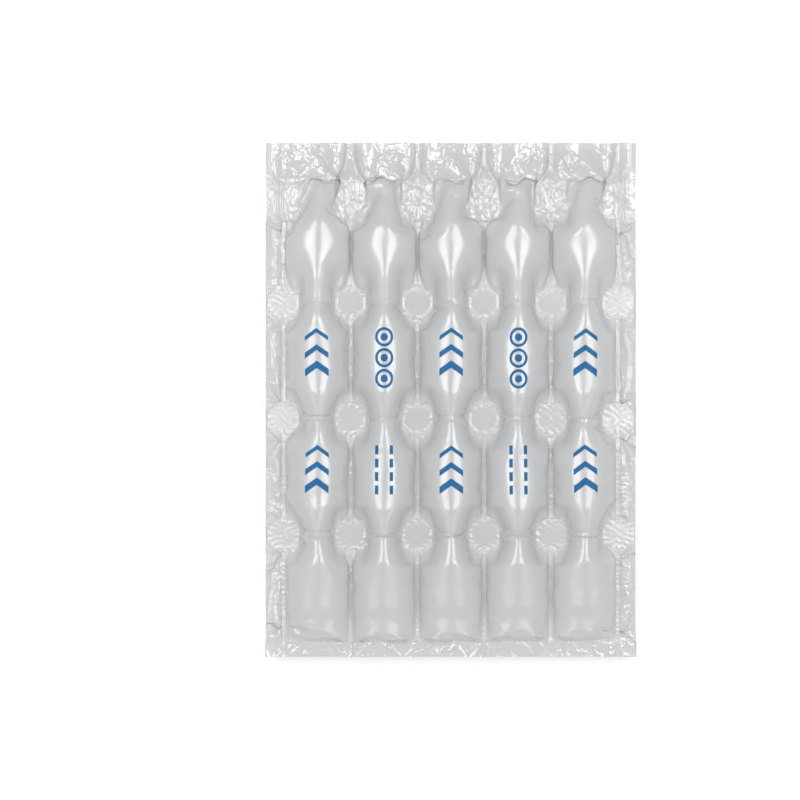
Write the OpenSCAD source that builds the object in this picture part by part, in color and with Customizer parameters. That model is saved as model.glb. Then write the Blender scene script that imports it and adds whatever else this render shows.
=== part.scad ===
// Inflated air column cushion, cut as one piece from a roll of film.
// Two plies of clear film are heat welded face to face. The welds leave a row of
// tall chambers, and each chamber holds air. The sheet lies on its underside, with
// the chambers along Y and the slit fill channel at the +Y end.

/* [Film] */
// Thickness of one ply of film
film_t = 0.08; // [0.05:0.01:0.3]
// Number of air columns side by side
columns = 5; // [2:1:5]
// Distance from one column to the next, inflated
pitch = 50; // [42:1:60]
// Width of the heat weld between two columns
seam_w = 3.4; // [1.5:0.1:6]
// Width of the cut margin outside the first and last column
margin_w = 13.5; // [6:0.5:30]

/* [Columns] */
// Half of a column's thickness where it is fullest
bulge_h = 22; // [14:0.5:26]
// Half of a column's thickness between two weld spots
neck_h = 18.5; // [10:0.5:21]
// How far each bulge is pressed flat where it rests
rest_flat = 1.2; // [0.5:0.1:3]
// Distance from the inlet welds to the first row of weld spots
first_row = 61; // [50:1:90]
// Distance from one row of weld spots to the next
row_pitch = 87; // [70:1:110]
// Number of rows of weld spots
rows = 3; // [1:1:3]
// Distance from the last row of weld spots to the end weld
last_bulge = 80; // [60:1:110]
// Length over which the foot of a column rounds off
foot_l = 41; // [20:1:45]
// Length of the flat lane below the columns
end_lane = 11.5; // [5:0.5:20]

/* [Weld spots] */
// Width of a weld spot across the columns
spot_w = 27; // [12:1:34]
// Length of a weld spot along the columns
spot_l = 28.5; // [12:0.5:34]

/* [Fill channel] */
// Length of the slit channel above the cross weld
channel_l = 28.5; // [15:0.5:50]
// Width of the inlet that leads into a column
inlet_w = 22; // [12:1:30]
// Length of the inlet
inlet_l = 30; // [20:1:45]
// Half of a column's thickness where its inlet ends
inlet_h = 18.5; // [8:0.5:20]
// Corner radius of the welds between two inlets
inlet_r = 9; // [4:0.5:12]
// How far the two slit lips stand apart at the edge
lip_gap = 2.4; // [0.5:0.1:3.5]

/* [Creases] */
// Height of the crumples in the slit channel
crumple_h = 1.8; // [0.5:0.1:3]
// Height of the gathers in the cut margins
gather_h = 1.4; // [0.5:0.1:3]
// Distance from one gather to the next
gather_pitch = 13; // [8:0.5:25]

/* [Print] */
// Thickness of the ink, drawn thick enough to be solid
ink_t = 0.1; // [0.05:0.01:0.2]
// Clearance that keeps the ink off the facets of the film
ink_lift = 0.12; // [0.05:0.01:0.3]
// Width of a printed chevron
chevron_w = 17; // [8:1:18]
// Length of one arm's stroke along the column, thinnest chevron
chevron_l = 3; // [2:0.5:4.5]
// Distance from one chevron to the next
chevron_pitch = 11; // [10:0.5:30]
// Outer diameter of a printed ring
ring_d = 13; // [8:1:13]
// Distance from one ring to the next
ring_pitch = 14; // [13.5:0.5:30]
// Width of a printed dash
dash_w = 2.5; // [1.5:0.5:5]
// Length of a printed dash
dash_l = 6; // [3:0.5:12]
// Distance from one dash to the next
dash_pitch = 9; // [6:0.5:20]
// Distance from the end of a weld spot to the print on a bulge
print_gap = 7.5; // [7.5:0.5:12]

/* [Hidden] */

SIDE_CELLS = 3;   // facets on each side of a column, outside the strip that it rests on
MARK_STEP = 3;    // longest stretch of ink drawn as one facet
RING_SIDES = 16;  // sides of a printed ring
DOT_SIDES = 8;    // sides of a printed dot

cross_weld = channel_l;                         // all distances run from the slit edge
inlet_end = cross_weld + inlet_l;
row_at = [for (i = [0:rows - 1]) inlet_end + first_row + i * row_pitch];
last_row = row_at[rows - 1];
end_weld = last_row + last_bulge;
sheet_l = end_weld + end_lane;
sheet_w = columns * pitch + 2 * margin_w;
mid_z = bulge_h + film_t - rest_flat;           // height of the plane where the plies meet
pad_half = (pitch - inlet_w) / 2;               // half width of the weld between two inlets
seam_half = seam_w / 2;

// Rises from 0 to 1 as t goes from 0 to 1, level at both ends
function ease(t) = let (c = min(1, max(0, t))) c * c * (3 - 2 * c);
// The rounded foot and the inlet of a column, from 0 at t = 0 up to 1 at t = 1
function foot_rise(t) = let (c = min(1, max(0, t))) pow(1 - (1 - c) * (1 - c), 0.8);
function inlet_rise(t) = sqrt(min(1, max(0, t)));
// A hump 1 high that falls to 0 a reach away from its middle
function hump(t) = abs(t) >= 1 ? 0 : pow(cos(90 * t), 2);
function row_distance(s) = min([for (r = row_at) abs(s - r)]);
function column_x(c) = (c - (columns - 1) / 2) * pitch;
function y_of(s) = sheet_l / 2 - s;

// Half width, at s, of the weld that lies between two columns. A weld spot is an octagon, and
// spot_side is how far along it its straight side ends.
spot_side = tan(22.5);
function spot_half(s, row) =
    let (d = abs(s - row) / (spot_l / 2))
    d > 1 ? 0 : d < spot_side ? spot_w / 2 : spot_w / 2 * (1 + spot_side - d);
function pad_at(s) =
    let (into = s - (inlet_end - inlet_r))
    s > inlet_end ? 0 : into <= 0 ? pad_half : pad_half - inlet_r + sqrt(inlet_r * inlet_r - into * into);
function weld_half(s) = max([seam_half, pad_at(s), for (r = row_at) spot_half(s, r)]);
function half_width(s) = pitch / 2 - weld_half(s);

// Half thickness of a column at s
neck_reach = spot_l * 0.51;
shoulder_l = 80;
function crest(s) =
    let (
        shoulder = inlet_h + (bulge_h - inlet_h) * ease((s - inlet_end) / shoulder_l),
        neck = (bulge_h - neck_h) * hump(row_distance(s) / neck_reach)
    ) shoulder - neck;
function half_height(s) =
    crest(s) * inlet_rise((s - cross_weld) / inlet_l) * foot_rise((end_weld - s) / foot_l);

// How fast a column falls away from its crest at s. Just past a weld its sides are still low,
// and a little further on they fill out.
FULL = 0.65;
BESIDE_SPOT = 1.5;
PAST_SPOT = 3.5;
BESIDE_INLET = 1.8;
PAST_INLET = 4.5;
fill_l = 7.2;
function fall_by_spot(past) = past > 0
    ? PAST_SPOT - (PAST_SPOT - FULL) * ease(past / fill_l)
    : BESIDE_SPOT + (PAST_SPOT - BESIDE_SPOT) * pow(1 + past / (spot_l / 2), 4);
function fall_by_inlet(past) = past > 0
    ? PAST_INLET - (PAST_INLET - FULL) * ease(past / fill_l)
    : BESIDE_INLET;
function fall(s) = max(fall_by_spot(row_distance(s) - spot_l / 2), fall_by_inlet(s - inlet_end));

// Where the sheet is cut into rings, as distances from the slit edge
channel_stops = [for (t = [0:0.25:0.75]) t * channel_l];
inlet_stops = [for (t = [0, 0.06, 0.2, 0.45]) cross_weld + t * inlet_l];
corner_stops = [for (a = [0, 45, 90]) inlet_end - inlet_r * (1 - sin(a))];
past_corner = inlet_end + 0.6;
spot_edges = [spot_side, 1, 1 + 1 / spot_l];
function spot_stops(r) = [
    for (d = concat([for (k = [2:-1:0]) -spot_edges[k]], [0], spot_edges)) r + spot_l / 2 * d
];
fill_stops = [0.3 * fill_l, fill_l];
function bulge_stops(from, to) =
    [from + fill_stops[0], from + fill_stops[1], to - fill_stops[1], to - fill_stops[0]];
foot_top = end_weld - foot_l;
foot_stops = [for (a = [0, 30, 55, 75, 90]) end_weld - foot_l * (1 - sin(a))];
last_stops = [for (d = fill_stops) last_row + spot_l / 2 + d];
lane_stops = [end_weld + end_lane / 2, sheet_l];
row_stops = [
    for (i = [0:rows - 1]) each concat(
        bulge_stops(i == 0 ? past_corner : row_at[i - 1] + spot_l / 2, row_at[i] - spot_l / 2),
        spot_stops(row_at[i]))
];
stops = concat(
    channel_stops, inlet_stops, corner_stops, [past_corner], row_stops,
    last_stops, foot_stops, lane_stops);
width_table = [for (s = stops) [s, half_width(s)]];
height_table = [for (s = stops) [s, s < cross_weld || s > end_weld ? 0 : half_height(s)]];
fall_table = [for (s = stops) [s, fall(s)]];

// Crumples of the loose film, as a height above the plane where the plies meet
function crumple(x, s) = crumple_h * (0.6 * sin(17 * x + 23 * s) + 0.4 * sin(41 * x - 13 * s));
function channel_share(s) = ease((cross_weld - s) / (channel_l * 0.4));
function gather(s) = gather_h * sin(360 * s / gather_pitch) * (1 - channel_share(s));
function loose_z(x, s) = crumple(x, s) * channel_share(s);
function lip(s) = lip_gap / 2 * max(0, 1 - s / cross_weld);

// Angles of the points on a column's arch. The strip that it rests on ends at two of them.
rest_angle = acos(pow(1 - rest_flat / bulge_h, 1 / FULL));
side_angles = [
    for (k = [0:SIDE_CELLS])
        let (t = k / SIDE_CELLS) rest_angle + (90 - rest_angle) * t * (1.3 - 0.3 * t)
];
arch_angles = concat(
    [for (k = [SIDE_CELLS:-1:0]) -side_angles[k]],
    [0],
    side_angles);

// One ring across the sheet, as [x, rise of the arch, height of the middle plane]
function arch_points(c, s, wall) = [
    for (a = arch_angles)
        let (x = column_x(c) + (lookup(s, width_table) - wall) * sin(a))
        [x, lookup(s, height_table) * pow(max(0, cos(a)), lookup(s, fall_table)), loose_z(x, s)]
];
function margin_points(s, side) =
    let (
        inner = column_x(columns - 1) + lookup(s, width_table),
        middle = (inner + sheet_w / 2) / 2,
        edge = sheet_w / 2,
        out = [[middle, 0, loose_z(side * middle, s) + gather(s) / 2],
               [edge, 0, loose_z(side * edge, s) + gather(s)]]
    ) [for (p = side > 0 ? out : [out[1], out[0]]) [side * p.x, p.y, p.z]];
function ring(s, wall) = concat(
    margin_points(s, -1),
    [for (c = [0:columns - 1]) each arch_points(c, s, wall)],
    margin_points(s, 1));

rise_grid = [for (s = stops) [for (p = ring(s, 0)) p.y]];

// The upper face and the face below it of each ply, as grids of points
function upper_grid(wall) = [
    for (s = stops) [for (p = ring(s, film_t - wall)) [p.x, y_of(s), mid_z + p.z + lip(s) + p.y + wall]]
];
function lower_grid(wall) = [
    for (s = stops) [
        for (p = ring(s, film_t - wall))
            [p.x, y_of(s), max(film_t - wall, mid_z + p.z - lip(s) - p.y - wall)]
    ]
];

// A closed solid between two grids that have the same rows and the same points in a row.
// Where rise is given, each cell is folded so that film over air bulges out.
module skin(top, bottom, rise = undef) {
    m = len(top);
    n = len(top[0]);
    base = m * n;
    function at(j, i) = j * n + i;
    function folded_down(j, i) =
        !is_undef(rise) && rise[j][i] + rise[j + 1][i + 1] < rise[j][i + 1] + rise[j + 1][i];
    top_faces = [
        for (j = [0:m - 2]) for (i = [0:n - 2])
            let (a = at(j, i), b = at(j, i + 1), c = at(j + 1, i + 1), d = at(j + 1, i))
            each folded_down(j, i) ? [[a, b, d], [b, c, d]] : [[a, b, c], [a, c, d]]
    ];
    bottom_faces = [for (f = top_faces) [base + f[0], base + f[2], base + f[1]]];
    rim = concat(
        [for (i = [0:n - 2]) at(0, i)],
        [for (j = [0:m - 2]) at(j, n - 1)],
        [for (i = [n - 1:-1:1]) at(m - 1, i)],
        [for (j = [m - 1:-1:1]) at(j, 0)]);
    wall_faces = [
        for (k = [0:len(rim) - 1])
            let (a = rim[k], b = rim[(k + 1) % len(rim)])
            each [[a, base + b, b], [a, base + a, base + b]]
    ];
    polyhedron(
        points = concat([for (r = top) each r], [for (r = bottom) each r]),
        faces = concat(top_faces, bottom_faces, wall_faces),
        convexity = 10);
}

module upper_film() {
    color("gainsboro") skin(upper_grid(film_t), upper_grid(0), rise_grid);
}

module lower_film() {
    color("silver") skin(lower_grid(0), lower_grid(film_t), rise_grid);
}

// Print lies on the upper ply, so a mark follows the facets of its column.
// A point of a mark is given from the column's middle and from the slit edge.
function arch_table(s) =
    let (w = lookup(s, width_table), h = lookup(s, height_table), f = lookup(s, fall_table))
    [for (a = concat([0], side_angles)) [w * sin(a), h * pow(max(0, cos(a)), f)]];
function on_film(c, x, s, above) =
    [column_x(c) + x, y_of(s), mid_z + film_t + lookup(abs(x), arch_table(s)) + ink_lift + above];
function steps(length) = max(1, ceil(length / MARK_STEP));

// A stroke of ink w wide and l long. Its middle leads its ends by point, as in a chevron.
module printed_stroke(c, x, s, w, l, point) {
    nx = 2 * steps(w / 2);
    ns = steps(l);
    function sheet(above) = [
        for (j = [0:ns]) [
            for (i = [0:nx])
                let (u = 2 * i / nx - 1)
                on_film(c, x + w / 2 * u, s + l * j / ns + point * abs(u), above)
        ]
    ];
    skin(sheet(ink_t), sheet(0));
}

module printed_dot(c, s, d) {
    function fan(above) = [
        for (r = [d / 6, d / 2])
            [for (k = [0:DOT_SIDES - 1])
                let (a = 360 * k / DOT_SIDES)
                on_film(c, r * cos(a), s - r * sin(a), above)]
    ];
    closed_skin(fan(ink_t), fan(0), true);
}

module printed_ring(c, s, d, line) {
    function band(above) = [
        for (r = [d / 2 - line, d / 2])
            [for (k = [0:RING_SIDES - 1])
                let (a = 360 * k / RING_SIDES)
                on_film(c, r * cos(a), s - r * sin(a), above)]
    ];
    closed_skin(band(ink_t), band(0), false);
}

// A solid between two grids whose rows close on themselves. With filled, the first row is capped.
module closed_skin(top, bottom, filled) {
    m = len(top);
    n = len(top[0]);
    base = m * n;
    function at(j, i) = j * n + i % n;
    function band(a, b, c, d) = [[a, b, c], [a, c, d]];
    top_faces = [
        for (j = [0:m - 2]) for (i = [0:n - 1])
            each band(at(j, i), at(j, i + 1), at(j + 1, i + 1), at(j + 1, i))
    ];
    cap = filled ? [[for (i = [n - 1:-1:0]) at(0, i)]] : [];
    upper_faces = concat(top_faces, cap);
    lower_faces = [for (f = upper_faces) [for (i = [len(f) - 1:-1:0]) base + f[i]]];
    outer_wall = [
        for (i = [0:n - 1])
            each band(at(m - 1, i), at(m - 1, i + 1), base + at(m - 1, i + 1), base + at(m - 1, i))
    ];
    inner_wall = filled ? [] : [
        for (i = [0:n - 1])
            each band(at(0, i + 1), at(0, i), base + at(0, i), base + at(0, i + 1))
    ];
    polyhedron(
        points = concat([for (r = top) each r], [for (r = bottom) each r]),
        faces = concat(upper_faces, lower_faces, outer_wall, inner_wall),
        convexity = 6);
}

// Print fills the bulges between two rows of weld spots, and stops short of the necks
print_room = row_pitch - spot_l - 2 * print_gap;
function print_start(bulge) = row_at[bulge] + spot_l / 2 + print_gap;
chevron_count = floor(print_room / chevron_pitch);
ring_count = floor(print_room / ring_pitch);
dash_count = floor(print_room / dash_pitch);
dash_x = ring_d / 2 - dash_w / 2;

module chevron_stack(c, bulge) {
    for (i = [0:chevron_count - 1]) {
        s = print_start(bulge) + i * chevron_pitch;
        grown = chevron_l * (1 + i / chevron_count);
        printed_stroke(c, 0, s, chevron_w, grown, chevron_w / 3);
    }
}

module ring_stack(c, bulge) {
    for (i = [0:ring_count - 1]) {
        s = print_start(bulge) + ring_d / 2 + i * ring_pitch;
        printed_ring(c, s, ring_d, ring_d / 7);
        printed_dot(c, s, ring_d * 0.4);
    }
}

module dash_lines(c, bulge) {
    for (side = [-1, 1]) for (i = [0:dash_count - 1])
        printed_stroke(c, side * dash_x, print_start(bulge) + i * dash_pitch, dash_w, dash_l, 0);
}

module printed_marks() {
    color("steelblue") for (c = [0:columns - 1]) for (bulge = [0:max(0, rows - 2)]) {
        if (c % 2 == 0) chevron_stack(c, bulge);
        else if (bulge % 2 == 0) ring_stack(c, bulge);
        else dash_lines(c, bulge);
    }
}

lower_film();
upper_film();
printed_marks();
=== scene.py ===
"""Inflated air column sheet, lying flat and seen from above.

Each ply starts as a flat sheet of film with its weld pattern. The film is blown up in the script,
by pressure in the columns, so the folds in the welds and the gathers in the margins form by themselves.
"""
import math

import bpy
import numpy as np
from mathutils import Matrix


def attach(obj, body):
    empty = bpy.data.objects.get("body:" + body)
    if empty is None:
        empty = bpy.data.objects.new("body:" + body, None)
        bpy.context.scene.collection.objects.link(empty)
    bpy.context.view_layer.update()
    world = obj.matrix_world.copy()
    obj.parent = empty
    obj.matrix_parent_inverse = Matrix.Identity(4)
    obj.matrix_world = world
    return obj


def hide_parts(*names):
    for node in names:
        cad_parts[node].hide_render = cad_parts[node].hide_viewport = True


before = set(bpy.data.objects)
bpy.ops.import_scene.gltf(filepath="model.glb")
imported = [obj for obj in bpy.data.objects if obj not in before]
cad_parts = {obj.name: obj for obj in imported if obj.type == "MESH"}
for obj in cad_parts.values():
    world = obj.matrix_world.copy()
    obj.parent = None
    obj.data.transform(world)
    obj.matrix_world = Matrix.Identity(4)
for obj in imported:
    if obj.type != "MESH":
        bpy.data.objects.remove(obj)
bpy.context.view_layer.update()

MM = 0.001
F = np.float32

# Flat film before it is blown up, in mm. u runs across the columns, v from the slit edge to the foot.
COLUMNS = 5
PITCH = 77.0
SEAM = 3.4
MARGIN = 14.0
CHANNEL = 28.5
SEAL = 2.5
INLET_END = 59.5
PAD_HALF = 19.8
PAD_R = 12.0
SPOT_ROWS = [126.5, 220.5, 314.5]
SPOT_W = 27.5
SPOT_L = 28.0
END_WELD = 405.0
LENGTH = 417.0
SEAM_HALF = 1.3
SEAM_HALF_MORE = 1.0
CORNER_CUT = 1.02

# The sheet after it is blown up, in mm. s runs from the slit edge to the foot.
SHEET_W = 277.0
SHEET_L = 385.0
PITCH_IN = 50.0
SPOT_W_IN = 26.0
PAD_HALF_IN = 13.8
MID_Z = 20.88
REST_Z = -20.84
V_KEYS = [0, CHANNEL, INLET_END, *SPOT_ROWS, END_WELD, LENGTH]
S_KEYS = [0, 28.5, 58.5, 119.5, 206.5, 293.5, 373.5, 385.0]
CREST_S = [28.5, 34, 58, 80, 100, 119, 138, 188, 206, 226, 276, 293, 312, 352, 373.5]
CREST_H = [0, 8, 9, 21, 21, 16, 21, 21, 16, 21, 21, 16, 21, 21, 0]


def ease(t):
    t = np.clip(t, 0, 1)
    return t * t * (3 - 2 * t)


# Flat pattern

# How much closer together the grid lines of a column stand beside its seams.
CROWDING = 0.45

# Share of the flat width that the film still takes up, by stretch of the sheet.
WIDTH_SHARES = {"lane": 0.66, "pads": 0.73, "channel": 0.76}
FOOT_DRAWN_IN = 0.32
FOOT = 42.0

# Film to spare along the columns, at a seam and fading out over this distance.
SPARE_LENGTH = 0.17
SPARE_REACH = 22.0


def stops_across(column_cells, seam_cells, margin_cells):
    """Grid lines across the film, closer together near each seam."""
    lines = []
    half = COLUMNS * PITCH / 2 + SEAM / 2
    lines.append(np.linspace(-half - MARGIN, -half, margin_cells + 1)[:-1])
    for c in range(COLUMNS + 1):
        seam = (c - COLUMNS / 2) * PITCH
        lines.append(np.linspace(seam - SEAM / 2, seam + SEAM / 2, seam_cells + 1)[:-1])
        if c < COLUMNS:
            t = np.linspace(-1, 1, column_cells + 1)[:-1]
            t = t + CROWDING * np.sin(np.pi * t) / np.pi
            lines.append(seam + PITCH / 2 + (PITCH - SEAM) / 2 * t)
    lines.append(np.linspace(half, half + MARGIN, margin_cells + 1))
    return np.concatenate(lines)


def soft_step(distance, cell):
    """1 inside a weld, 0 outside it, with one cell of change so that its edge runs smooth."""
    return np.clip(0.5 - distance / cell, 0, 1)


class Pattern:
    """What each point of the film grid belongs to: a weld, an air column, a margin or the channel."""

    def __init__(self, u, v):
        self.u, self.v = u, v
        U, V = np.meshgrid(u, v)
        nearest = np.clip(np.round(U / PITCH + COLUMNS / 2), 0, COLUMNS) - COLUMNS / 2
        off = U - nearest * PITCH
        side = np.abs(off)
        cell = v[1] - v[0]
        lane = np.maximum(CHANNEL - V, V - END_WELD)
        seam = np.maximum(side - self.seam_half(V), lane)
        wave = 0.8 * np.sin(U / 9.0) + 0.5 * np.sin(U / 3.7 + 1)
        seal = np.abs(V - CHANNEL - wave) - SEAL / 2
        into = np.maximum(0, V - (INLET_END - PAD_R))
        out = np.maximum(0, side - (PAD_HALF - PAD_R))
        pad = np.maximum(np.hypot(into, out) - PAD_R, CHANNEL - V)
        distance = np.minimum(np.minimum(seam, seal), pad)
        self.spots = np.zeros(U.shape, bool)
        self.into_spot = np.zeros(U.shape)
        for row in SPOT_ROWS:
            a = np.abs(V - row) / (SPOT_L / 2)
            b = side / (SPOT_W / 2)
            spot = (np.maximum(np.maximum(a, b), (a + b) / math.sqrt(2) * CORNER_CUT) - 1) * SPOT_L / 2
            distance = np.minimum(distance, spot)
            self.spots |= spot < 0
            self.into_spot = np.maximum(self.into_spot, -spot)
        distance = np.minimum(distance, END_WELD - V)
        self.weld = soft_step(distance, cell)
        self.from_weld = np.maximum(distance, 0)
        self.outer = np.abs(U) > COLUMNS * PITCH / 2 + SEAM / 2
        self.channel = V < CHANNEL
        self.lane = V > END_WELD
        self.pads = (pad < 0) & ~self.channel
        self.into_weld = np.where(self.pads, np.maximum(-pad, 0), self.into_spot)
        inside = (V > CHANNEL) & (V < END_WELD) & ~self.outer
        self.air = inside & (self.weld < 0.5)
        self.U, self.V, self.off, self.side, self.nearest = U, V, off, side, nearest
        self.s = np.interp(V, V_KEYS, S_KEYS)

    @staticmethod
    def seam_half(v):
        """A seam is widest beside the middle of a bulge, where the jaws press it hardest."""
        ends = np.array([INLET_END, *SPOT_ROWS, END_WELD])
        i = np.clip(np.searchsorted(ends, v) - 1, 0, len(ends) - 2)
        t = np.clip((v - ends[i]) / (ends[i + 1] - ends[i]), 0, 1)
        return SEAM_HALF + SEAM_HALF_MORE * np.sin(np.pi * t) ** 2

    def width_share(self):
        """Share of the flat width that each stretch of film still has to take up."""
        foot = ease((self.V - (END_WELD - FOOT)) / FOOT)
        share = 1 - FOOT_DRAWN_IN * foot
        return np.where(self.outer, 1.0, self.by_stretch(share, WIDTH_SHARES))

    def by_stretch(self, values, table):
        """The values, with those of the table in the stretches of the sheet that it names."""
        for stretch, value in table.items():
            values = np.where(getattr(self, stretch), value, values)
        return values

    def column_skin(self):
        """1 on the smooth skin of a column, falling to 0 at the welds round it."""
        return np.where(self.air, ease((self.from_weld - 1.0) / 5.0), 0.0)

    def length_share(self):
        """Length of film along the columns, with some to spare beside the seams."""
        near = 1 - ease((self.side - SEAM / 2) / SPARE_REACH)
        return 1 + np.where(self.air, SPARE_LENGTH * near, 0.0)


def first_shape(p):
    """Columns arched and the sheet already drawn in, as a start for the blowing up."""
    column = np.clip(np.floor(p.U / PITCH + COLUMNS / 2), 0, COLUMNS - 1)
    centre = (column - (COLUMNS - 1) / 2)
    half = PITCH / 2 - SEAM / 2
    t = (p.U - centre * PITCH) / half
    arch = np.clip(t, -1, 1) * np.pi / 2
    beyond = np.maximum(np.abs(t) - 1, 0) * np.sign(t) * half
    height = np.interp(p.s, CREST_S, CREST_H)
    x = centre * PITCH_IN + (PITCH_IN / 2 - SEAM / 2) * np.sin(arch) + beyond
    z = height * np.cos(arch)
    y = SHEET_L / 2 - p.s
    return np.stack([np.stack([x, x]), np.stack([y, y]), np.stack([z, -z])]).astype(F)


# Blowing up

# How high loose and welded film may stand above the welds' plane, in mm.
TOPS = {"outer": 3.5, "pads": 3.0, "channel": 4.5, "lane": 2.0}
NO_TOP = 99.0

# How firmly welds and edges are held in their places, as a share of the way back at each step.
SEAM_HOLD = 0.2
CHANNEL_SEAM_HOLD = 0.02
WELD_HOLD = 0.05
EDGE_HOLD = 0.3
SPOT_HOLD_Y = 0.03
PAD_HOLD_Y = 0.02
WELD_HOLD_Z = 0.02

# One row for each grid, coarse to fine: steps, push of the air, how far film in the columns and loose
# film resists being squeezed, how far it resists bends, and the share of its speed that it keeps.
STAGES = (
    (400, 0.006, 0.0, 0.5, 0.02, 0.97),
    (400, 0.0015, 0.1, 0.6, 0.02, 0.97),
    (400, 0.0004, 0.6, 0.8, 0.03, 0.96),
)
SMOOTHING_PASSES = (4, 10, 25)
SEAM_PASSES = 60
SEAM_REACH = 14.0
PRESSED_FLAT = 0.92

# Small waves from which folds grow: heights in mm, and lengths in mm of film a radian.
WELD_WAVE_H = 0.5
SPOT_WAVE = 1.6
PAD_WAVE = 1.7
PAD_WAVE_SLANT = 20
CHANNEL_WAVES = ((2.6, 4.0, 0.15), (3.4, -5.5, 0.2))
OUTER_WAVE_H = 0.35
OUTER_WAVE = 0.75

STRETCH = 0.5
SLANT_SHARE = 0.6
PLY_GAP = 0.15
TOP_PULL = 0.3


def pull_together(a, b, rest, stretch, squeeze):
    """Moves two sets of points so that the film between them gets back towards its length."""
    d = b - a
    length = np.sqrt(d[0] * d[0] + d[1] * d[1] + d[2] * d[2])
    share = 1 - rest / np.maximum(length, F(1e-6))
    share *= np.where(share > 0, stretch, squeeze)
    d *= share
    a += d
    b -= d


def grain(rng, shape, passes):
    """Even random bumps, made smoother with each pass."""
    n = rng.standard_normal(shape).astype(F)
    for _ in range(passes):
        n[:, 1:-1, :] = (n[:, :-2, :] + 2 * n[:, 1:-1, :] + n[:, 2:, :]) / 4
        n[:, :, 1:-1] = (n[:, :, :-2] + 2 * n[:, :, 1:-1] + n[:, :, 2:]) / 4
    return n / n.std()


class Holds:
    """Where parts of the film are held or kept low while it is blown up."""

    def __init__(self, p):
        x = p.nearest * PITCH_IN + p.off
        hold_x = np.where(p.channel, CHANNEL_SEAM_HOLD, SEAM_HOLD)
        hold_x = np.where(p.side < SEAM / 2 + 0.01, hold_x, 0.0)
        x = np.where(p.spots, p.nearest * PITCH_IN + p.off * SPOT_W_IN / SPOT_W, x)
        x = np.where(p.pads, p.nearest * PITCH_IN + p.off * PAD_HALF_IN / PAD_HALF, x)
        hold_x = np.where(p.spots | p.pads, WELD_HOLD, hold_x)
        x[:, 0], x[:, -1] = -SHEET_W / 2, SHEET_W / 2
        hold_x[:, 0] = hold_x[:, -1] = EDGE_HOLD
        hold_y = np.where(p.spots, SPOT_HOLD_Y, 0.0)
        hold_y = np.where(p.pads, PAD_HOLD_Y, hold_y)
        hold_y[0] = hold_y[-1] = EDGE_HOLD
        top = p.by_stretch(np.full(p.U.shape, NO_TOP), TOPS)
        self.x, self.hold_x = x.astype(F), hold_x.astype(F)
        self.y, self.hold_y = (SHEET_L / 2 - p.s).astype(F), hold_y.astype(F)
        self.hold_z = np.where(p.weld > 0.5, WELD_HOLD_Z, 0.0).astype(F)
        self.top = top.astype(F)


def smooth_bends(P, amount):
    """Film resists sharp bends, so each line of the grid is eased along its own length."""
    for axis in (2, 3):
        Q = np.moveaxis(P, axis, 2)
        D = np.zeros_like(Q)
        D[:, :, 1:-1] = (Q[:, :, 2:] + Q[:, :, :-2]) * F(0.5) - Q[:, :, 1:-1]
        Q[:, :, 1:-1] += F(amount) * (D[:, :, 1:-1] - F(0.5) * (D[:, :, 2:] + D[:, :, :-2]))


def blow_up(P, p, steps, push, squeeze_air, squeeze_loose, bend, keep_speed):
    """Pressure pushes the air columns out, and the film's lengths hold them in."""
    share = p.width_share()
    across = (np.diff(p.u)[None, :] * (share[:, 1:] + share[:, :-1]) / 2).astype(F)
    share = p.length_share()
    along = (np.diff(p.v)[:, None] * (share[1:] + share[:-1]) / 2).astype(F)
    slant = np.hypot((along[:, 1:] + along[:, :-1]) / 2, (across[1:] + across[:-1]) / 2).astype(F)
    hold = Holds(p)
    weld = p.weld.astype(F)
    air = p.air.astype(F)[1:-1, 1:-1]
    stretch = F(STRETCH)
    squeeze = np.where(p.air, squeeze_air / 2, squeeze_loose / 2).astype(F)
    out = np.array([1, -1], dtype=F)[:, None, None]
    before = P.copy()
    for _ in range(steps):
        speed = (P - before) * F(keep_speed)
        np.copyto(before, P)
        tu = P[:, :, 1:-1, 2:] - P[:, :, 1:-1, :-2]
        tv = P[:, :, 2:, 1:-1] - P[:, :, :-2, 1:-1]
        nx = tv[1] * tu[2] - tv[2] * tu[1]
        ny = tv[2] * tu[0] - tv[0] * tu[2]
        nz = tv[0] * tu[1] - tv[1] * tu[0]
        force = F(push) * out * air / np.maximum(np.sqrt(nx * nx + ny * ny + nz * nz), F(1e-9))
        P += speed
        P[0][:, 1:-1, 1:-1] += nx * force
        P[1][:, 1:-1, 1:-1] += ny * force
        P[2][:, 1:-1, 1:-1] += nz * force
        for k in (0, 1):
            pull_together(P[:, :, :, k:-1:2], P[:, :, :, k + 1::2],
                          across[:, k::2][None], stretch, squeeze[:, k:-1:2][None])
        for k in (0, 1):
            pull_together(P[:, :, k:-1:2], P[:, :, k + 1::2],
                          along[k::2][None], stretch, squeeze[k:-1:2][None])
        for k in (0, 1):
            rest = slant[k::2][None]
            soft = squeeze[k:-1:2, :-1][None] * F(SLANT_SHARE)
            firm = stretch * F(SLANT_SHARE)
            pull_together(P[:, :, k:-1:2, :-1], P[:, :, k + 1::2, 1:], rest, firm, soft)
            pull_together(P[:, :, k:-1:2, 1:], P[:, :, k + 1::2, :-1], rest, firm, soft)
        smooth_bends(P, bend)
        # welded film moves as one
        apart = (P[:, 1] - P[:, 0]) * F(0.5) * weld
        P[:, 0] += apart
        P[:, 1] -= apart
        # loose plies don't pass through each other
        cross = np.maximum(0, F(PLY_GAP) - (P[2, 0] - P[2, 1])) * F(0.5) * (1 - weld)
        P[2, 0] += cross
        P[2, 1] -= cross
        P[0] += hold.hold_x * (hold.x - P[0])
        P[1] += hold.hold_y * (hold.y - P[1])
        P[2] -= hold.hold_z * P[2]
        P[2] += F(TOP_PULL) * (np.clip(P[2], -hold.top, hold.top) - P[2])
        np.maximum(P[2], F(REST_Z), out=P[2])
    return P


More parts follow.
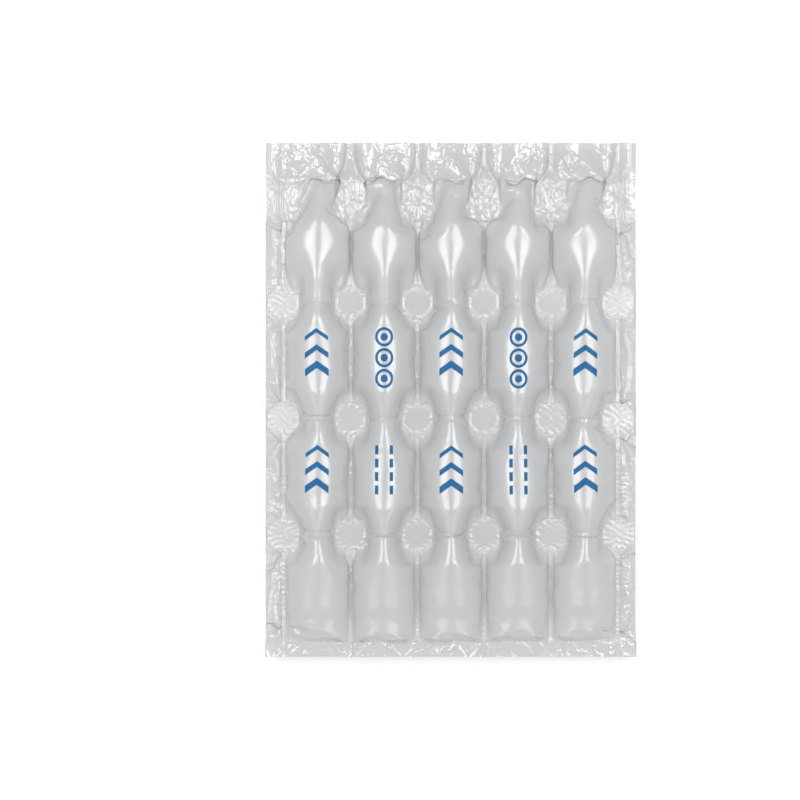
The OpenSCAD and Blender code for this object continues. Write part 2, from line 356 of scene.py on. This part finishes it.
def onto_finer_grid(P, coarse, fine):
    """The same shape on a grid with more lines."""
    def place(old, new):
        i = np.clip(np.searchsorted(old, new) - 1, 0, len(old) - 2)
        return i, ((new - old[i]) / (old[i + 1] - old[i])).astype(F)
    iu, tu = place(coarse.u, fine.u)
    iv, tv = place(coarse.v, fine.v)
    rows = P[..., iu] * (1 - tu) + P[..., iu + 1] * tu
    tv = tv[:, None]
    return (rows[:, :, iv] * (1 - tv) + rows[:, :, iv + 1] * tv).astype(F)


def seed_folds(P, p, rng, size):
    """Small waves where the film has width or length to spare, so that folds start there."""
    shape = p.U.shape
    turn = 6.0 * grain(rng, (1, *shape), 12)[0]
    in_spots = WELD_WAVE_H * np.cos(p.U / SPOT_WAVE + turn * 0.1)
    in_pads = WELD_WAVE_H * np.cos(p.U / PAD_WAVE + p.V / PAD_WAVE_SLANT + turn * 0.1)
    in_channel = sum(np.sin(p.U / du + p.V / dv + turn * share) for du, dv, share in CHANNEL_WAVES)
    in_outer = OUTER_WAVE_H * np.sin(p.V / OUTER_WAVE + turn * 0.1)
    for where, wave in (
            (p.spots, in_spots), (p.pads, in_pads), (p.channel, in_channel), (p.outer, in_outer)):
        P[2] += np.where(where, wave, 0).astype(F) * F(size)
    P[2] += grain(rng, (2, *shape), 2) * np.where(p.air, 0.03, 0.15 * size).astype(F)


def even_out(P, mask, passes):
    """Takes out ripples of a few grid cells where mask is 1, and keeps the larger form."""
    mask = mask.astype(F)
    for _ in range(passes):
        for step in (0.5, -0.52):
            for axis in (2, 3):
                Q = np.moveaxis(P, axis, 2)
                m = np.moveaxis(mask, axis - 2, 0)[1:-1]
                D = (Q[:, :, 2:] + Q[:, :, :-2]) * F(0.5) - Q[:, :, 1:-1]
                Q[:, :, 1:-1] += F(step) * m * D
    np.maximum(P[2], F(REST_Z), out=P[2])
    return P


def press_spots(P, p):
    """The hot jaws leave the middle of a weld spot flat, and its rim keeps its folds."""
    flat = PRESSED_FLAT * ease((p.into_spot - 1.5) / 4.0)
    P[2] *= (1 - flat).astype(F)
    return P


def straighten_seams(P, p):
    """Takes the zigzags out of the film beside a seam, along the seam only."""
    near = 0.5 * ease((SEAM_REACH - p.side) / (SEAM_REACH / 2))
    near = np.where(p.spots | p.pads | p.channel | p.lane | p.outer, 0, near).astype(F)[1:-1]
    for _ in range(SEAM_PASSES):
        P[:, :, 1:-1] += near * ((P[:, :, 2:] + P[:, :, :-2]) * F(0.5) - P[:, :, 1:-1])
    return P


def blown_up_film():
    """The two plies after blowing up, as an array [xyz, ply, v, u] in mm, and their grid."""
    rng = np.random.default_rng(7)
    grids = [
        Pattern(stops_across(12, 1, 4), np.linspace(0, LENGTH, 121)),
        Pattern(stops_across(16, 2, 6), np.linspace(0, LENGTH, 241)),
        Pattern(stops_across(32, 4, 12), np.linspace(0, LENGTH, 481)),
    ]
    P = first_shape(grids[0])
    P[2] += grain(rng, (2, *grids[0].U.shape), 2) * F(0.5)
    P = blow_up(P, grids[0], *STAGES[0])
    P = onto_finer_grid(P, grids[0], grids[1])
    even_out(P, grids[1].column_skin(), SMOOTHING_PASSES[0])
    seed_folds(P, grids[1], rng, 1.0)
    P = blow_up(P, grids[1], *STAGES[1])
    P = onto_finer_grid(P, grids[1], grids[2])
    even_out(P, grids[2].column_skin(), SMOOTHING_PASSES[1])
    seed_folds(P, grids[2], rng, 0.4)
    P = blow_up(P, grids[2], *STAGES[2])
    even_out(P, grids[2].column_skin(), SMOOTHING_PASSES[2])
    press_spots(P, grids[2])
    return straighten_seams(P, grids[2]), grids[2]


film, grid = blown_up_film()


# Meshes

def outward(points):
    """Unit normals of one ply's grid, pointing up where the film lies flat."""
    tu = np.gradient(points, axis=2)
    tv = np.gradient(points, axis=1)
    n = np.cross(tv, tu, axis=0)
    return n / np.maximum(np.linalg.norm(n, axis=0), 1e-9)


def new_mesh(name, points, faces):
    mesh = bpy.data.meshes.new(name)
    mesh.from_pydata([tuple(p) for p in points], [], faces)
    mesh.polygons.foreach_set("use_smooth", [True] * len(mesh.polygons))
    mesh.update()
    piece = bpy.data.objects.new(name, mesh)
    bpy.context.scene.collection.objects.link(piece)
    return piece


def grid_faces(rows, cols, flip):
    i = np.arange((rows - 1) * (cols - 1))
    first = i // (cols - 1) * cols + i % (cols - 1)
    quad = [first, first + cols, first + cols + 1, first + 1]
    if flip:
        quad = quad[::-1]
    return np.stack(quad, axis=1).tolist()


def ply_piece(name, ply, lift, flip):
    """One ply as a mesh, lifted off the film's middle so that two plies don't share a place."""
    points = film[:, ply].astype(float)
    points = points + lift * outward(points)
    points[2] += MID_Z
    rows, cols = points.shape[1:]
    return new_mesh(name, points.reshape(3, -1).T * MM, grid_faces(rows, cols, flip))


HALF_FILM = 0.04
upper = ply_piece("upper_ply", 0, HALF_FILM, False)
lower = ply_piece("lower_ply", 1, -HALF_FILM, True)


# Point values that the film's material reads, and how crumpled each stretch of the sheet is.
CREASE_FIELDS = ("crumple", "gather", "rim")
CRUMPLED = {"channel": 1.0, "pads": 0.9, "lane": 0.45, "outer": 0.9}
CRUMPLED_SPOT_RIM = 0.25


def crease_fields(p):
    """For each point: how crumpled the film is, how gathered along the columns, and mm into a weld."""
    crumple = p.by_stretch(np.zeros(p.U.shape), CRUMPLED)
    crumple = np.where(p.spots, CRUMPLED_SPOT_RIM * (1 - ease(p.into_spot / 5)), crumple)
    by_seam = 1 - ease((p.side - p.seam_half(p.V)) / 4)
    gather = np.where(p.outer & ~p.channel & ~p.lane, 1.0, 0.0)
    gather = np.where(p.air | (p.side < SEAM), by_seam, gather)
    gather = np.where(p.channel | p.lane | p.spots | p.pads, 0.0, gather)
    return crumple, gather, p.into_weld


for piece in (upper, lower):
    for name, share in zip(CREASE_FIELDS, crease_fields(grid)):
        layer = piece.data.attributes.new(name, "FLOAT", "POINT")
        layer.data.foreach_set("value", share.ravel().astype(F))


# Print

upper_points = film[:, 0].astype(float)
upper_normals = outward(upper_points)
PRINT_LIFT = 0.1
COLUMN_FLAT = (PITCH - SEAM) / (PITCH_IN - SEAM) * 0.66


def on_film(column, x, s):
    """Points on the upper ply, from the column's middle and from the slit edge, in metres."""
    u = (column - (COLUMNS - 1) / 2) * PITCH + x * COLUMN_FLAT
    v = np.interp(s, S_KEYS, V_KEYS)
    iu = np.clip(np.searchsorted(grid.u, u) - 1, 0, len(grid.u) - 2)
    iv = np.clip(np.searchsorted(grid.v, v) - 1, 0, len(grid.v) - 2)
    tu = (u - grid.u[iu]) / (grid.u[iu + 1] - grid.u[iu])
    tv = (v - grid.v[iv]) / (grid.v[iv + 1] - grid.v[iv])
    found = []
    for field in (upper_points, upper_normals):
        a = field[:, iv, iu] * (1 - tu) + field[:, iv, iu + 1] * tu
        b = field[:, iv + 1, iu] * (1 - tu) + field[:, iv + 1, iu + 1] * tu
        found.append(a * (1 - tv) + b * tv)
    place = found[0] + PRINT_LIFT * found[1]
    place[2] += MID_Z
    return place.T * MM


class Ink:
    """Collects the printed patches into one mesh."""

    def __init__(self):
        self.points, self.faces = [], []

    def patch(self, column, x, s):
        """A patch of ink over a grid of places."""
        rows, cols = x.shape
        first = len(self.points)
        self.points.extend(on_film(column, x.ravel(), s.ravel()))
        for face in grid_faces(rows, cols, True):
            self.faces.append([first + k for k in face])

    def stroke(self, column, x, s, width, length, point=0.0):
        """A stroke whose middle leads its ends by point, as in a chevron."""
        nx = 2 * max(1, round(width / 2))
        ns = max(1, round(length / 0.9))
        t = np.linspace(-1, 1, nx + 1)[None, :]
        r = np.linspace(0, length, ns + 1)[:, None]
        self.patch(column, x + width / 2 * t + 0 * r, s + r + point * np.abs(t))

    def ring(self, column, x, s, outer, inner):
        """A ring, or a dot where inner is 0."""
        a = np.linspace(0, 2 * np.pi, RING_STEPS + 1)[:, None]
        r = np.linspace(max(inner, 0.01), outer, 4)[None, :]
        self.patch(column, x + r * np.cos(a), s + r * np.sin(a))


CHEVRON_W = 17.0
CHEVRON_L = 3.0
CHEVRON_PITCH = 11.0
CHEVRONS = 3
RING_D = 13.0
RING_PITCH = 14.0
RING_STEPS = 40
RINGS = 3
DASH_W = 2.5
DASH_L = 6.0
DASH_PITCH = 9.0
DASHES = 4
PRINT_STARTS = [141.25, 228.25]


def print_chevrons(ink, column, start):
    for i in range(CHEVRONS):
        length = CHEVRON_L * (1 + i / CHEVRONS)
        ink.stroke(column, 0, start + i * CHEVRON_PITCH, CHEVRON_W, length, CHEVRON_W / 3)


def print_rings(ink, column, start):
    for i in range(RINGS):
        s = start + RING_D / 2 + i * RING_PITCH
        ink.ring(column, 0, s, RING_D / 2, RING_D / 2 - RING_D / 7)
        ink.ring(column, 0, s, RING_D * 0.2, 0)


def print_dashes(ink, column, start):
    for side in (-1, 1):
        for i in range(DASHES):
            ink.stroke(column, side * (RING_D - DASH_W) / 2, start + i * DASH_PITCH, DASH_W, DASH_L)


ink = Ink()
for column in range(COLUMNS):
    for bulge, start in enumerate(PRINT_STARTS):
        if column % 2 == 0:
            print_chevrons(ink, column, start)
        elif bulge == 0:
            print_rings(ink, column, start)
        else:
            print_dashes(ink, column, start)
marks = new_mesh("ink_marks", ink.points, ink.faces)


# Materials

def node_tree(material):
    material.use_nodes = True
    tree = material.node_tree
    shader = tree.nodes["Principled BSDF"]
    return tree, shader


def link(tree, a, b):
    tree.links.new(a, b)


def math_node(group, operation, a, b):
    """A math node on two values, each of them a number or another node's output."""
    node = group.nodes.new("ShaderNodeMath")
    node.operation = operation
    for socket, value in zip(node.inputs, (a, b)):
        if isinstance(value, (int, float)):
            socket.default_value = value
        else:
            link(group, value, socket)
    return node.outputs[0]


def mapped(tree, value, old, new):
    """A value moved from the range old to the range new."""
    node = tree.nodes.new("ShaderNodeMapRange")
    for name, number in zip(("From Min", "From Max", "To Min", "To Max"), (*old, *new)):
        node.inputs[name].default_value = number
    link(tree, value, node.inputs["Value"])
    return node.outputs["Result"]


def texture(group, kind, place, **values):
    node = group.nodes.new(kind)
    link(group, place, node.inputs["Vector"])
    for name, value in values.items():
        node.inputs[name.replace("_", " ")].default_value = value
    return node


# Creases: scales are per metre, and depths are shares of CREASE_DEPTH.
CREASE_DEPTH = 0.3 * MM
WIDE_SCALE = 45
FINE_SHARE = 0.16
BEND_SCALE = 70
BEND = 0.012
FACETS = ((75, 4.5), (190, 0.5))
FOLD_LINES = ((38, 2.2), (80, 1.1))
FOLD_SHARPNESS = 22
STROKE_SCALE = 120
STROKE_SHARPNESS = 12
STROKE_SHARE = 0.9
DRAWN_OUT = (0.3, 1, 1)
WAVE_SCALE = 88
WAVE_SHARE = 0.35
RIM_WAVE = 2.5
RIM_FADE = 0.2
RIM_SHARE = 1.1


def scaled(group, value, share):
    return math_node(group, "MULTIPLY", value, share)


def added(group, first, *others):
    """The sum of several heights."""
    for other in others:
        first = math_node(group, "ADD", first, other)
    return first


def above_zero(group, value):
    return math_node(group, "MAXIMUM", value, 0)


def vector_node(group, operation, place, by):
    node = group.nodes.new("ShaderNodeVectorMath")
    node.operation = operation
    link(group, place, node.inputs[0])
    node.inputs[1].default_value = by
    return node


def ridges(group, place, scale, sharpness):
    """Narrow ridges along the level lines of a noise."""
    level = texture(group, "ShaderNodeTexNoise", place, Scale=scale, Detail=1.5).outputs["Fac"]
    apart = math_node(group, "ABSOLUTE", math_node(group, "SUBTRACT", level, 0.5), 0)
    return above_zero(group, math_node(group, "SUBTRACT", 1, scaled(group, apart, sharpness)))


def bent_place(group, place):
    """The place on the film, pushed about a little so that straight patterns run crooked."""
    push = texture(group, "ShaderNodeTexNoise", place, Scale=BEND_SCALE, Detail=2).outputs["Color"]
    node = vector_node(group, "MULTIPLY_ADD", push, (BEND, BEND, BEND))
    link(group, place, node.inputs[2])
    return node.outputs[0]


def crumples(group, bent):
    """Flat facets that meet in sharp lines, and narrow ridges where the film was folded hard."""
    heights = []
    for scale, share in FACETS:
        facet = texture(group, "ShaderNodeTexVoronoi", bent, Scale=scale).outputs["Distance"]
        heights.append(scaled(group, facet, share))
    for scale, share in FOLD_LINES:
        heights.append(scaled(group, ridges(group, bent, scale, FOLD_SHARPNESS), share))
    return added(group, *heights)


def rim_folds(group, into_weld, strength):
    """The weld's edge and a few folds beside it, fading towards its middle."""
    ripple = math_node(group, "SINE", scaled(group, into_weld, RIM_WAVE), 0)
    fade = math_node(group, "SUBTRACT", 1, scaled(group, into_weld, RIM_FADE))
    ripple = scaled(group, scaled(group, ripple, above_zero(group, fade)), strength)
    return scaled(group, ripple, RIM_SHARE)


def gathers(group, place, bent):
    """Short waves along the columns, and fold lines drawn out across them."""
    waves = texture(
        group, "ShaderNodeTexWave", place, Scale=WAVE_SCALE, Distortion=5, Detail=2, Detail_Scale=1.2)
    waves.bands_direction = "Y"
    drawn = vector_node(group, "MULTIPLY", bent, DRAWN_OUT).outputs[0]
    strokes = scaled(group, ridges(group, drawn, STROKE_SCALE, STROKE_SHARPNESS), STROKE_SHARE)
    return added(group, scaled(group, waves.outputs["Fac"], WAVE_SHARE), strokes)


def creased_film_group():
    """Creases of thin film: fine ones all over, sharp ones where the inputs ask for them."""
    group = bpy.data.node_groups.new("creased film", "ShaderNodeTree")
    face = group.interface
    for name in ("Crease scale", "Crumple", "Gather", "Rim"):
        face.new_socket(name, in_out="INPUT", socket_type="NodeSocketFloat").default_value = 0.0
    for name in ("Height", "Haze"):
        face.new_socket(name, in_out="OUTPUT", socket_type="NodeSocketFloat")
    inlet = group.nodes.new("NodeGroupInput").outputs
    outlet = group.nodes.new("NodeGroupOutput").inputs
    place = group.nodes.new("ShaderNodeTexCoord").outputs["Object"]
    bent = bent_place(group, place)
    wide = texture(group, "ShaderNodeTexNoise", place, Scale=WIDE_SCALE, Detail=3).outputs["Fac"]
    fine = texture(group, "ShaderNodeTexNoise", place, Detail=4, Distortion=0.6)
    link(group, inlet["Crease scale"], fine.inputs["Scale"])
    height = added(
        group,
        scaled(group, fine.outputs["Fac"], FINE_SHARE),
        wide,
        scaled(group, crumples(group, bent), inlet["Crumple"]),
        rim_folds(group, inlet["Rim"], wide),
        scaled(group, gathers(group, place, bent), inlet["Gather"]),
    )
    haze = mapped(group, wide, (0.35, 0.7), (0.5, 1.0))
    smooth = math_node(group, "SUBTRACT", 1, inlet["Crumple"])
    link(group, height, outlet["Height"])
    link(group, scaled(group, haze, smooth), outlet["Haze"])
    return group


creases = creased_film_group()


def place_creases(tree, shader, strength, scale):
    """Puts the creases into a material. The film's own point attributes say where they are strong."""
    node = tree.nodes.new("ShaderNodeGroup")
    node.node_tree = creases
    node.inputs["Crease scale"].default_value = scale
    for name in CREASE_FIELDS:
        share = tree.nodes.new("ShaderNodeAttribute")
        share.attribute_name = name
        link(tree, share.outputs["Fac"], node.inputs[name.capitalize()])
    bump = tree.nodes.new("ShaderNodeBump")
    bump.inputs["Strength"].default_value = strength
    bump.inputs["Distance"].default_value = CREASE_DEPTH
    link(tree, node.outputs["Height"], bump.inputs["Height"])
    link(tree, bump.outputs["Normal"], shader.inputs["Normal"])
    return node


def clear_film(name, head_on, edge_on):
    """Thin clear film: half see-through, and a little more solid where it turns away."""
    material = bpy.data.materials.new(name)
    tree, shader = node_tree(material)
    shader.inputs["Base Color"].default_value = (0.72, 0.73, 0.735, 1)
    shader.inputs["IOR"].default_value = 2.2
    group = place_creases(tree, shader, 0.8, 260)
    rough = mapped(tree, group.outputs["Haze"], (0, 1), (0.08, 0.20))
    link(tree, rough, shader.inputs["Roughness"])
    facing = tree.nodes.new("ShaderNodeLayerWeight")
    facing.inputs["Blend"].default_value = 0.35
    alpha = mapped(tree, facing.outputs["Facing"], (0, 1), (head_on, edge_on))
    link(tree, alpha, shader.inputs["Alpha"])
    return material


def printed_ink(name, colour):
    material = bpy.data.materials.new(name)
    tree, shader = node_tree(material)
    shader.inputs["IOR"].default_value = 1.3
    group = place_creases(tree, shader, 0.3, 300)
    ramp = tree.nodes.new("ShaderNodeMix")
    ramp.data_type = "RGBA"
    ramp.inputs["A"].default_value = (*colour, 1)
    ramp.inputs["B"].default_value = (*[c * 1.35 for c in colour], 1)
    link(tree, group.outputs["Haze"], ramp.inputs["Factor"])
    link(tree, ramp.outputs["Result"], shader.inputs["Base Color"])
    rough = mapped(tree, group.outputs["Haze"], (0, 1), (0.25, 0.4))
    link(tree, rough, shader.inputs["Roughness"])
    return material


film_material = clear_film("clear_film", 0.50, 0.52)
upper.data.materials.append(film_material)
lower.data.materials.append(film_material)
marks.data.materials.append(printed_ink("blue_ink", (0.008, 0.119, 0.292)))


# Floor, lights and camera

FLOOR_HALF = 4.0
FLOOR_DROP = 0.0004
FLOOR_GLOW = 0.3


def floor_sheet():
    """A white sheet that keeps the shadow, and glows a little for the camera alone."""
    mesh = bpy.data.meshes.new("floor")
    w = FLOOR_HALF
    mesh.from_pydata([(-w, -w, 0), (w, -w, 0), (w, w, 0), (-w, w, 0)], [], [(0, 1, 2, 3)])
    floor = bpy.data.objects.new("floor", mesh)
    bpy.context.scene.collection.objects.link(floor)
    floor.location.z = -FLOOR_DROP
    material = bpy.data.materials.new("white_floor")
    tree, shader = node_tree(material)
    shader.inputs["Base Color"].default_value = (0.96, 0.96, 0.96, 1)
    shader.inputs["Roughness"].default_value = 0.8
    shader.inputs["Specular IOR Level"].default_value = 0.1
    shader.inputs["Emission Color"].default_value = (1, 1, 1, 1)
    path = tree.nodes.new("ShaderNodeLightPath")
    glow = scaled(tree, path.outputs["Is Camera Ray"], FLOOR_GLOW)
    link(tree, glow, shader.inputs["Emission Strength"])
    mesh.materials.append(material)
    return floor


def softbox(name, near, far, low, high, glow, height=1.3):
    """A flat lamp over the table, from near to far across it and from low to high along it."""
    lamp = bpy.data.lights.new(name, "AREA")
    lamp.shape = "RECTANGLE"
    lamp.size = abs(far - near)
    lamp.size_y = high - low
    lamp.energy = glow * math.pi * lamp.size * lamp.size_y
    box = bpy.data.objects.new(name, lamp)
    box.location = ((near + far) / 2, (low + high) / 2, height)
    bpy.context.scene.collection.objects.link(box)
    return box


floor_sheet()
# Two rows of lamps with a gap between them: the gap draws the grey line down each highlight.
LAMP_GLOW = 4.5
NEAR, FAR = 0.19, 0.75
for side, name in ((-1, "left"), (1, "right")):
    softbox(f"{name}_box", side * NEAR, side * FAR, -0.15, 0.135, LAMP_GLOW)
    softbox(f"{name}_back_box", side * NEAR, side * FAR, 0.2, 0.6, LAMP_GLOW)
    softbox(f"{name}_front_box", side * 0.2, side * 0.8, -2.6, -1.8, LAMP_GLOW / 2)

world = bpy.data.worlds.new("studio")
bpy.context.scene.world = world
world.use_nodes = True
sky = world.node_tree.nodes["Background"]
sky.inputs["Color"].default_value = (1, 1, 1, 1)
sky.inputs["Strength"].default_value = 0.45

# The camera looks straight down, and the photograph is 800 pixels wide.
PIXEL = 0.749 * MM
PHOTO_W = 800 * PIXEL
SHEET_OFF_CENTRE = 50.75 * PIXEL
camera_data = bpy.data.cameras.new("camera")
camera_data.lens = 200
camera_data.sensor_width = 36
camera = bpy.data.objects.new("camera", camera_data)
distance = PHOTO_W * camera_data.lens / camera_data.sensor_width
camera.location = (-SHEET_OFF_CENTRE, 0, MID_Z * MM + distance)
bpy.context.scene.collection.objects.link(camera)
bpy.context.scene.camera = camera
bpy.context.scene.view_settings.view_transform = "Standard"


# Hand over

for piece in (upper, lower, marks):
    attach(piece, "root")
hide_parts("upper_film")
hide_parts("lower_film")
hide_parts("printed_marks")
